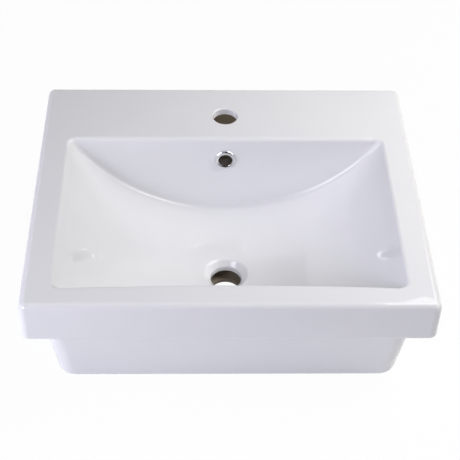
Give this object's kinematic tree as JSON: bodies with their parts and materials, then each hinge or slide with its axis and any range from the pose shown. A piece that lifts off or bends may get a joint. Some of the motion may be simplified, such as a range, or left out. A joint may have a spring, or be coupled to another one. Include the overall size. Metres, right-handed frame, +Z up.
{
  "type": "semi recessed basin",
  "caption": "Semi recessed basin with a square rim, a scooped bowl that falls to a waste outlet, a tap ledge along the back and a chrome-ringed overflow.",
  "frame": {"origin": "middle of the whole basin in plan, on the plane that its foot rests on", "axes": "+X to the right of someone who stands at the basin, +Y back towards the wall, +Z up"},
  "size_m": [0.5208, 0.4404, 0.173],
  "materials": {
    "vitreous_china": "glossy white glaze on vitreous china",
    "chrome_plate": "polished plating",
    "black_rubber": "matt",
    "spring_steel": "bright rolled strip"
  },
  "bodies": {
    "root": {"basin_body": "vitreous_china", "overflow_ring": "chrome_plate", "overflow_gasket": "black_rubber", "overflow_clip": "spring_steel"}
  },
  "joints": []
}
